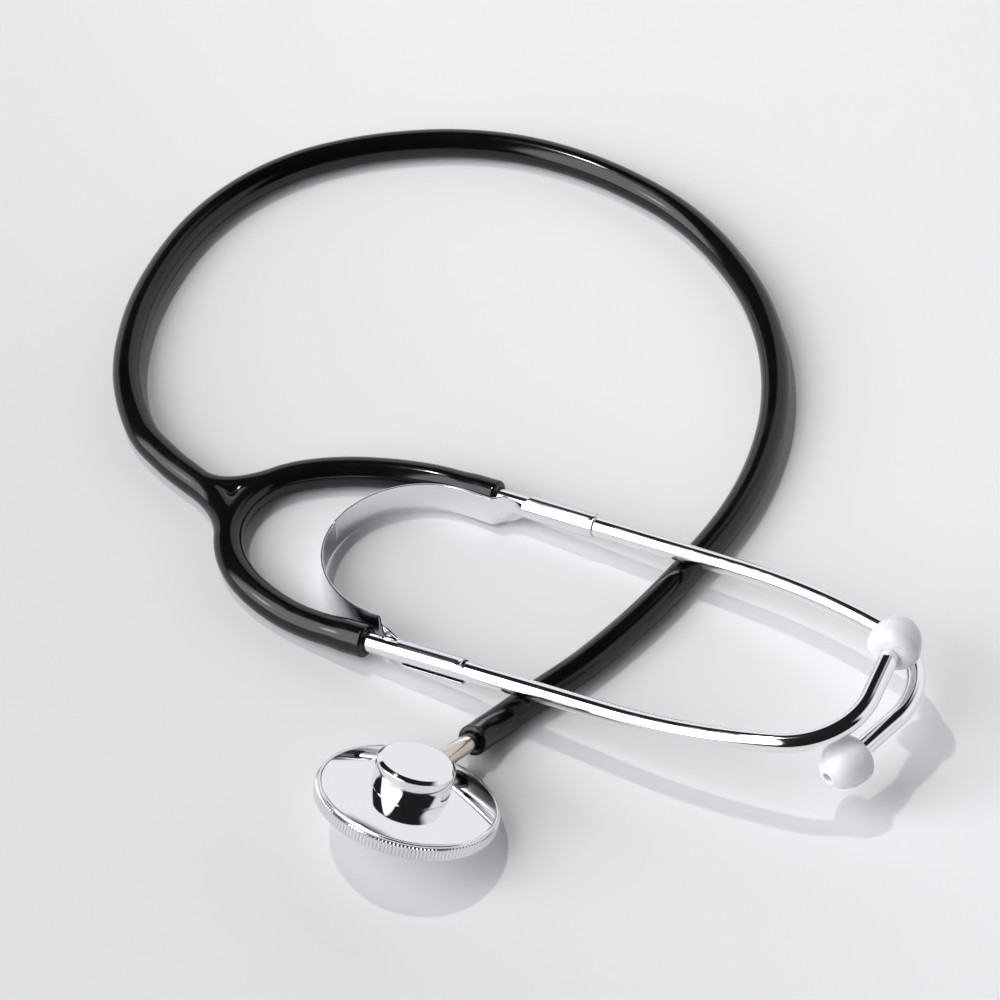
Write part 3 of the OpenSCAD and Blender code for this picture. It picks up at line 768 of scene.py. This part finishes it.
class STETHOSCOPE_OT_hose(bpy.types.Operator):
    """Lays the long hose from the fork round the loop to the stem"""
    bl_idname = "stethoscope.hose"
    bl_label = "Lay the Hose"

    def execute(self, context):
        tubing, lay_out = settings().tubing, Layout()
        low = lay_out.fork_radius
        takes_over = lay_out.mouth + lay_out.stem_axis * tubing.hose_grip
        plan = [Vector((x, y, low)) + TABLE_SHIFT for x, y in HOSE_PLAN]
        through = [takes_over, *plan, lay_out.main_collar]
        route = smooth_route(through, lay_out.stem_axis, -lay_out.main_out, 8)
        grip = [lay_out.mouth + lay_out.stem_axis * tubing.hose_grip * k / 6 for k in range(6)]
        path = ease_down([*grip, *route], low)
        path.reverse()
        hose = tube_along("hose", path, tubing.hose_radius)
        roll_mouth(
            hose, lay_out.mouth, -lay_out.stem_axis, tubing.hose_radius, settings().chestpiece.stem_radius,
            tubing.mouth_round, tubing.hose_grip,
        )
        finish_piece(hose, hose_black(), ["main_tube"], 50)
        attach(hose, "tubing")
        return {"FINISHED"}


class STETHOSCOPE_OT_fork(bpy.types.Operator):
    """Melts three curved arms into the fork where the hose splits in two"""
    bl_idname = "stethoscope.fork"
    bl_label = "Mould the Fork"

    def execute(self, context):
        tubing, lie, lay_out = settings().tubing, settings().lie, Layout()
        collars = [
            (lay_out.near_collar, lay_out.near_out),
            (lay_out.far_collar, lay_out.far_out),
            (lay_out.main_collar, lay_out.main_out),
        ]
        arms = []
        for i, (start, out) in enumerate(collars):
            end, arrive = collars[(i + 1) % 3]
            middle = swing(start, -out, end, arrive, lie.fork_run_in, 40)
            points = [start + out * tubing.lap, *middle, end + arrive * tubing.lap]
            arms.append(tube_along(f"fork_arm_{i}", points, tubing.hose_radius, caps=True))
        bpy.ops.object.select_all(action="DESELECT")
        for arm in arms:
            arm.select_set(True)
        context.view_layer.objects.active = arms[0]
        bpy.ops.object.join()
        fork = context.object
        fork.name = fork.data.name = "fork"
        apply_modifier(fork, "REMESH", mode="VOXEL", voxel_size=tubing.fork_voxel)
        apply_modifier(fork, "SMOOTH", factor=0.5, iterations=24)
        finish_piece(fork, hose_black(), ["yoke"], 80)
        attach(fork, "tubing")
        return {"FINISHED"}


class STETHOSCOPE_OT_branches(bpy.types.Operator):
    """Draws the two short hoses from the fork to the cuffs on the ear tubes"""
    bl_idname = "stethoscope.branches"
    bl_label = "Draw the Branches"

    def execute(self, context):
        lie, lay_out = settings().lie, Layout()
        near, far = (lay_out.near_collar, lay_out.near_out), (lay_out.far_collar, lay_out.far_out)
        self.draw_branch("near", "right", lay_out.near, *near, lie.near_run_in)
        self.draw_branch("far", "left", lay_out.far, *far, lie.far_run_in)
        return {"FINISHED"}

    def draw_branch(self, name, side, arm, collar, out, run_in):
        tubing, head, lay_out = settings().tubing, settings().headset, Layout()
        axis = axis_of(arm)
        back = lay_out.cuff_back[name]
        mouth = arm.to_translation()
        run = lying(swing(collar, out, back, axis, run_in, 60), lay_out.fork_radius)
        cuff_steps = 24
        cuff = [back + (mouth - back) * k / cuff_steps for k in range(1, cuff_steps + 1)]
        full = tubing.cuff_radius / tubing.hose_radius
        swell = [1.0] * len(run)
        for k in range(1, cuff_steps + 1):
            f = min(1.0, k / (cuff_steps * 0.6))
            swell.append(1.0 + (full - 1.0) * f * f * (3 - 2 * f))
        branch = tube_along(f"{name}_branch", [*run, *cuff], tubing.hose_radius, swell)
        rounding = tubing.mouth_round * 1.6
        roll_mouth(branch, mouth, axis, tubing.cuff_radius, head.tube_radius, rounding, head.tube_grip)
        finish_piece(branch, hose_black(), [f"{side}_branch"], 50)
        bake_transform(branch)


class STETHOSCOPE_OT_spring(bpy.types.Operator):
    """Bends the steel strip and rolls its two ends into sleeves"""
    bl_idname = "stethoscope.spring"
    bl_label = "Bend the Spring"

    def execute(self, context):
        lay_out = Layout()
        material = spring_steel()
        head = settings().headset
        self.bend_half("near", "right", lay_out.near, -1.0, head.near_ease, material)
        self.bend_half("far", "left", lay_out.far, 1.0, head.far_ease, material)
        return {"FINISHED"}

    # Rows of faces along the parts of half the strip, and across it
    BOW_ROWS, LEG_ROWS, JOGGLE_ROWS = 44, 6, 10
    NECK_ROWS, SHOULDER_ROWS, SLEEVE_ROWS = 14, 10, 36
    ROWS_ACROSS = 28

    def stations(self, arm, side):
        """Places along half the strip: (middle, up, outward, curl, width)."""
        head, lay_out = settings().headset, Layout()
        bow, to_bow = lay_out.bow, lay_out.bow.inverted()
        cuff = to_bow @ arm.to_translation()
        leg = abs(cuff.y) - head.leg_inset
        found = []
        up = bow.to_3x3() @ Vector((0.0, 0.0, 1.0))
        for k in range(self.BOW_ROWS + 1):
            turn = math.pi - math.pi / 2 * k / self.BOW_ROWS
            out = Vector((math.cos(turn), side * math.sin(turn), 0.0))
            middle = bow @ (out * leg - Vector((head.bow_setback, 0, 0)))
            found.append((middle, up, bow.to_3x3() @ out, 0.0, head.strip_width))
        out = bow.to_3x3() @ Vector((0.0, side, 0.0))
        sleeve_mid = head.tube_radius + settings().chestpiece.running_gap + head.strip_thickness / 2
        neck_x = head.sleeve_start - head.neck_length
        leg_end = cuff.x + neck_x - head.joggle
        for k in range(1, self.LEG_ROWS + 1):
            x = -head.bow_setback + (leg_end + head.bow_setback) * k / self.LEG_ROWS
            found.append((bow @ Vector((x, side * leg, 0.0)), up, out, 0.0, head.strip_width))
        arm_turn = arm.to_3x3()
        arm_up, arm_out = arm_turn @ Vector((0.0, 0.0, 1.0)), arm_turn @ Vector((0.0, side, 0.0))
        start, end = found[-1][0], arm @ Vector((neck_x, -side * sleeve_mid, 0.0))
        along, arm_along = bow.to_3x3() @ Vector((1.0, 0.0, 0.0)), axis_of(arm)
        step_out = swing(start, along, end, arm_along, head.joggle * 0.45, self.JOGGLE_ROWS)
        for k, middle in enumerate(step_out[1:], 1):
            f = k / self.JOGGLE_ROWS
            turned_up, turned_out = up.lerp(arm_up, f).normalized(), out.lerp(arm_out, f).normalized()
            found.append((middle, turned_up, turned_out, 0.0, head.strip_width))
        full_curl = 1.0 / sleeve_mid
        full_width = 2 * math.pi * sleeve_mid - head.slit_width

        def on_arm(x, curl, width):
            found.append((arm @ Vector((x, -side * sleeve_mid, 0.0)), arm_up, arm_out, curl, width))

        for k in range(1, self.NECK_ROWS + 1):
            f = k / self.NECK_ROWS
            width = head.strip_width + (head.neck_width - head.strip_width) * f
            on_arm(neck_x + head.neck_length * f, full_curl * f * f, width)
        for k in range(1, self.SHOULDER_ROWS + 1):
            f = k / self.SHOULDER_ROWS
            width = head.neck_width + (full_width - head.neck_width) * f
            on_arm(head.sleeve_start + head.shoulder * f, full_curl, width)
        for k in range(1, self.SLEEVE_ROWS + 1):
            f = k / self.SLEEVE_ROWS
            x = head.sleeve_start + head.shoulder + (head.sleeve_length - head.shoulder) * f
            bell = head.sleeve_bell * max(0.0, 12 * f - 11) ** 2
            on_arm(x, 1.0 / (sleeve_mid + bell), full_width)
        return found

    def bend_half(self, name, side_name, arm, side, looseness, material):
        head = settings().headset
        rows = self.stations(arm, side)
        bpy.ops.object.select_all(action="DESELECT")
        bpy.ops.mesh.primitive_grid_add(
            x_subdivisions=len(rows) - 1, y_subdivisions=self.ROWS_ACROSS, size=2.0, calc_uvs=True,
            location=(0, 0, 0),
        )
        strip = bpy.context.object
        strip.name = strip.data.name = f"{name}_spring_half"
        for v in strip.data.vertices:
            row = round((v.co.x + 1) / 2 * (len(rows) - 1))
            middle, up, out, curl, width = rows[row]
            s = v.co.y / 2 * width
            curl *= 1 - looseness
            if curl > 1e-6:
                v.co = middle + up * math.sin(curl * s) / curl + out * (1 - math.cos(curl * s)) / curl
            else:
                v.co = middle + up * s
        apply_modifier(strip, "SOLIDIFY", thickness=head.strip_thickness, offset=0.0, use_even_offset=True)
        tidy_mesh(strip)
        round_edges(strip, head.strip_thickness * 0.25, 2, 60)
        finish_piece(strip, material, ["leaf_spring", f"{side_name}_sleeve"], 40)
        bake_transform(strip)


class STETHOSCOPE_OT_ear_tubes(bpy.types.Operator):
    """Bends the two chrome ear tubes"""
    bl_idname = "stethoscope.ear_tubes"
    bl_label = "Bend the Ear Tubes"

    def execute(self, context):
        head, lay_out = settings().headset, Layout()
        material = tube_chrome()
        self.bend_tube("near", "right", lay_out.near, head.near_bend, 1.0, material)
        self.bend_tube("far", "left", lay_out.far, head.far_bend, -1.0, material)
        return {"FINISHED"}

    def bend_tube(self, name, side_name, arm, tight_bend, side, material):
        head = settings().headset
        points = [Vector((-head.tube_grip + k * 0.006, 0.0, 0.0)) for k in range(13)]
        points.append(Vector((head.tube_straight, 0.0, 0.0)))
        at, facing = points[-1], 0.0
        gentle, tight = (head.gentle_radius, head.gentle_bend, 40), (head.tight_radius, tight_bend, 90)
        for radius, bend, steps in (gentle, tight):
            centre = at + Vector((-math.sin(facing), math.cos(facing), 0.0)) * radius
            for k in range(1, steps + 1):
                turn = facing + bend * k / steps
                points.append(centre + Vector((math.sin(turn), -math.cos(turn), 0.0)) * radius)
            at, facing = points[-1], facing + bend
        points.append(at + heading(facing) * (head.ear_straight + head.ear_grip))
        points = [arm @ Vector((p.x, side * p.y, p.z)) for p in points]
        tube = tube_along(f"{name}_ear_tube", points, head.tube_radius)
        tidy_mesh(tube)
        apply_modifier(tube, "SOLIDIFY", thickness=head.tube_wall, offset=-1.0)
        finish_piece(tube, material, [f"{side_name}_ear_tube"], 50)
        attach(tube, f"{side_name}_arm")


def ear_end(arm, tight_bend, side):
    """Place of an ear tip's foot, with its own upright axis along the tube's end."""
    head = settings().headset
    x, y, facing = head.tube_straight, 0.0, 0.0
    for radius, bend in ((head.gentle_radius, head.gentle_bend), (head.tight_radius, tight_bend)):
        x += radius * (math.sin(facing + bend) - math.sin(facing))
        y += radius * (math.cos(facing) - math.cos(facing + bend))
        facing += bend
    foot = Vector((x, y, 0.0)) + heading(facing) * head.ear_straight
    turn = Matrix.Rotation(side * facing, 4, "Z") @ Matrix.Rotation(math.pi / 2, 4, "Y")
    return arm @ Matrix.Translation((foot.x, side * foot.y, 0.0)) @ turn


class STETHOSCOPE_OT_ear_tips(bpy.types.Operator):
    """Turns the two white ear tips"""
    bl_idname = "stethoscope.ear_tips"
    bl_label = "Turn the Ear Tips"

    def execute(self, context):
        head, lay_out = settings().headset, Layout()
        material = ear_tip_white()
        self.turn_tip("near", "right", ear_end(lay_out.near, head.near_bend, 1.0), material)
        self.turn_tip("far", "left", ear_end(lay_out.far, head.far_bend, -1.0), material)
        return {"FINISHED"}

    def turn_tip(self, name, side_name, place, material):
        head = settings().headset
        socket = head.tube_radius + settings().chestpiece.running_gap
        dome = head.tip_length - head.tip_wide
        lip = head.sound_hole * 0.35
        nose = math.acos((head.sound_hole + lip) / head.tip_radius)
        profile = [(socket, head.ear_grip), (socket, 0.0001)]
        edge_steps, dome_steps, lip_steps = 12, 30, 6
        for k in range(1, edge_steps):
            turn = math.pi / 2 * k / edge_steps
            bulge = (head.tip_radius - socket) * math.sin(turn) ** 0.75
            profile.append((socket + bulge, head.tip_wide * (1 - math.cos(turn))))
        for k in range(dome_steps + 1):
            turn = nose * k / dome_steps
            profile.append((head.tip_radius * math.cos(turn), head.tip_wide + dome * math.sin(turn)))
        crest = profile[-1][1]
        for k in range(1, lip_steps + 1):
            turn = math.pi / 2 * k / lip_steps
            profile.append((head.sound_hole + lip * (1 - math.sin(turn)), crest - lip * (1 - math.cos(turn))))
        profile += [(head.sound_hole, head.ear_grip), profile[0]]
        tip = turned(f"{name}_ear_tip", profile, 72)
        tidy_mesh(tip)
        lay(tip, place)
        finish_piece(tip, material, [f"{side_name}_ear_tip"], 40)
        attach(tip, f"{side_name}_tip")


class STETHOSCOPE_OT_plate(bpy.types.Operator):
    """Turns the polished cone plate with its hollow underside"""
    bl_idname = "stethoscope.plate"
    bl_label = "Turn the Plate"

    def execute(self, context):
        chest, lay_out = settings().chestpiece, Layout()
        outer = chest.ring_radius - chest.ring_wall - chest.running_gap
        foot = chest.lip_height + chest.running_gap + chest.film_thickness
        roof = chest.top_height - chest.plate_wall
        profile = [
            (chest.spigot_radius, roof),
            (chest.spigot_radius, chest.top_height),
            (chest.hub_radius, chest.top_height),
            (outer, chest.rim_height),
            (outer, foot),
            (outer - chest.plate_wall, foot),
            (chest.hub_radius, roof),
            (chest.spigot_radius, roof),
        ]
        plate = turned("bell_plate_polished", profile, 160)
        tidy_mesh(plate)
        round_edges(plate, 0.00018, 3, 40)
        lay(plate, lay_out.chest)
        finish = settings().finishes
        material = turned_chrome("Plate Chrome", finish.chrome, lay_out.chest, 0.03, 0.07, 0.00035, 0.00001)
        finish_piece(plate, material, ["bell_plate"])
        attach(plate, "chestpiece")
        return {"FINISHED"}


class STETHOSCOPE_OT_hub(bpy.types.Operator):
    """Turns the bright hub in the plate's middle"""
    bl_idname = "stethoscope.hub"
    bl_label = "Turn the Hub"

    def execute(self, context):
        chest, lay_out = settings().chestpiece, Layout()
        top = chest.top_height + chest.hub_height
        profile = [
            (chest.spigot_radius, chest.top_height - chest.plate_wall),
            (chest.spigot_radius, chest.top_height),
            (chest.hub_radius - 0.0002, chest.top_height),
            (chest.hub_radius, chest.top_height + 0.0002),
            (chest.hub_radius, top - chest.hub_drop),
            (chest.hub_radius - chest.hub_bevel, top),
        ]
        hub = turned("hub_polished", profile, 160, filled=True)
        bpy.ops.object.mode_set(mode="OBJECT")
        tidy_mesh(hub)
        round_edges(hub, 0.00022, 4, 20)
        lay(hub, lay_out.chest)
        finish = settings().finishes
        material = turned_chrome("Hub Chrome", finish.chrome, lay_out.chest, 0.03, 0.07, 0.0003, 0.00001)
        finish_piece(hub, material, ["hub"])
        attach(hub, "chestpiece")
        return {"FINISHED"}


class STETHOSCOPE_OT_stem(bpy.types.Operator):
    """Draws the thin stem from the hub into the hose"""
    bl_idname = "stethoscope.stem"
    bl_label = "Draw the Stem"

    def execute(self, context):
        chest, tubing, lay_out = settings().chestpiece, settings().tubing, Layout()
        length = chest.hub_radius + chest.stem_bare + tubing.hose_grip - chest.running_gap
        start = chest.stem_bore
        profile = [
            (chest.stem_bore, start),
            (chest.stem_radius, start),
            (chest.stem_radius, length),
            (chest.stem_bore, length),
            (chest.stem_bore, start),
        ]
        stem = turned("stem_drawn", profile, 64)
        tidy_mesh(stem)
        round_edges(stem, 0.00015, 2, 40)
        lies = Matrix.Translation((0.0, 0.0, lay_out.stem_height)) @ Matrix.Rotation(math.pi / 2, 4, "Y")
        lay(stem, lay_out.chest @ lies)
        finish_piece(stem, drawn_nickel(lay_out.chest), ["stem"])
        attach(stem, "chestpiece")
        return {"FINISHED"}


class STETHOSCOPE_OT_ring(bpy.types.Operator):
    """Turns the retaining ring and knurls its rim"""
    bl_idname = "stethoscope.ring"
    bl_label = "Knurl the Ring"

    def execute(self, context):
        chest, lay_out = settings().chestpiece, Layout()
        seat = chest.ring_radius - chest.ring_wall
        window = seat - chest.lip_reach
        root = chest.ring_radius - chest.knurl_depth
        edge = root - chest.knurl_depth / 2
        low, high = chest.lip_height / 2, chest.ring_height - chest.bead_height
        ease = 0.0002
        bead = chest.ring_height - 0.0001
        profile = [
            (window, chest.lip_height),
            (window, ease),
            (window + ease, 0.0),
            (edge - ease, 0.0),
            (edge, ease),
            (edge, low),
            (root, low + ease / 2),
            (chest.ring_radius, low + ease * 2),
            (chest.ring_radius, high - ease * 2),
            (root, high - ease / 2),
            (edge, high),
            (edge, bead - ease * 1.5),
            (edge - ease * 0.6, bead - ease * 0.4),
            (edge - ease * 1.6, bead),
            (seat + ease * 1.0, bead),
            (seat + ease * 0.3, bead - ease * 0.4),
            (seat, bead - ease * 1.5),
            (seat, chest.lip_height),
            (window, chest.lip_height),
        ]
        tooth = 2 * math.pi / chest.knurl_count
        ring = turned("retaining_ring_knurled", profile, chest.knurl_count * 4)
        between = (chest.ring_radius + root) / 2

        def in_groove(p):
            across = math.hypot(p.x, p.y)
            share = (math.atan2(p.y, p.x) / tooth) % 1.0
            return across > between and (share < 0.1 or share > 0.9)

        pick(ring, in_groove)
        inwards = root / chest.ring_radius
        bpy.ops.transform.resize(value=(inwards, inwards, 1.0), center_override=(0, 0, 0))
        tidy_mesh(ring)
        lay(ring, lay_out.chest)
        finish = settings().finishes
        material = turned_chrome("Ring Chrome", finish.ring, lay_out.chest, 0.12, 0.2, 0.0003, 0.00002)
        finish_piece(ring, material, ["retaining_ring"], 28)
        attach(ring, "ring")
        return {"FINISHED"}


class STETHOSCOPE_OT_diaphragm(bpy.types.Operator):
    """Cuts the stiff film disc under the plate"""
    bl_idname = "stethoscope.diaphragm"
    bl_label = "Cut the Diaphragm"

    def execute(self, context):
        chest, lay_out = settings().chestpiece, Layout()
        outer = chest.ring_radius - chest.ring_wall - chest.running_gap
        low = chest.lip_height + chest.running_gap
        high = low + chest.film_thickness
        crease = chest.film_thickness / 4
        profile = [
            (outer * 0.02, low),
            (outer * 0.80, low),
            (outer * 0.82, low + crease),
            (outer * 0.85, low + crease),
            (outer * 0.87, low),
            (outer, low),
            (outer, high),
            (outer * 0.02, high),
        ]
        film = turned("diaphragm_disc", profile, 128, filled=True)
        tidy_mesh(film)
        lay(film, lay_out.chest)
        finish_piece(film, diaphragm_film(), ["diaphragm"])
        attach(film, "chestpiece")
        return {"FINISHED"}


class STETHOSCOPE_PT_panel(bpy.types.Panel):
    """Lists the steps that build the stethoscope"""
    bl_idname = "STETHOSCOPE_PT_panel"
    bl_label = "Stethoscope"
    bl_space_type = "VIEW_3D"
    bl_region_type = "UI"
    bl_category = "Stethoscope"

    def draw(self, context):
        column = self.layout.column(align=True)
        for step in STEPS:
            column.operator(step.bl_idname)
        for group in GROUPS:
            box = self.layout.box()
            box.label(text=group)
            values = getattr(context.scene.stethoscope, group)
            for key in values.__annotations__:
                box.prop(values, key)


class StethoscopeSettings(bpy.types.PropertyGroup):
    """All settings of the stethoscope"""
    chestpiece: PointerProperty(type=ChestpieceSizes, name="Chestpiece", description="Chestpiece sizes")
    tubing: PointerProperty(type=TubingSizes, name="Tubing", description="Hose, fork and branches")
    headset: PointerProperty(type=HeadsetSizes, name="Headset", description="Spring, tubes and tips")
    lie: PointerProperty(type=TableLie, name="Lie", description="How the pieces lie on the table")
    finishes: PointerProperty(type=Finishes, name="Finishes", description="Colours and gloss")
    studio: PointerProperty(type=Studio, name="Studio", description="Camera and light")


GROUPS = ("chestpiece", "tubing", "headset", "lie", "finishes", "studio")
STEPS = (
    STETHOSCOPE_OT_stage, STETHOSCOPE_OT_hose, STETHOSCOPE_OT_fork, STETHOSCOPE_OT_branches,
    STETHOSCOPE_OT_spring, STETHOSCOPE_OT_ear_tubes, STETHOSCOPE_OT_ear_tips, STETHOSCOPE_OT_plate,
    STETHOSCOPE_OT_hub, STETHOSCOPE_OT_stem, STETHOSCOPE_OT_ring, STETHOSCOPE_OT_diaphragm,
)
CLASSES = (
    ChestpieceSizes, TubingSizes, HeadsetSizes, TableLie, Finishes, Studio, StethoscopeSettings,
    *STEPS, STETHOSCOPE_PT_panel,
)


def register():
    for cls in CLASSES:
        bpy.utils.register_class(cls)
    bpy.types.Scene.stethoscope = PointerProperty(type=StethoscopeSettings)


def unregister():
    del bpy.types.Scene.stethoscope
    for cls in reversed(CLASSES):
        bpy.utils.unregister_class(cls)


def main():
    register()
    bpy.ops.stethoscope.stage()
    bpy.ops.stethoscope.hose()
    bpy.ops.stethoscope.fork()
    bpy.ops.stethoscope.branches()
    bpy.ops.stethoscope.spring()
    bpy.ops.stethoscope.ear_tubes()
    bpy.ops.stethoscope.ear_tips()
    bpy.ops.stethoscope.plate()
    bpy.ops.stethoscope.hub()
    bpy.ops.stethoscope.stem()
    bpy.ops.stethoscope.ring()
    bpy.ops.stethoscope.diaphragm()


if __name__ == "__main__":
    main()
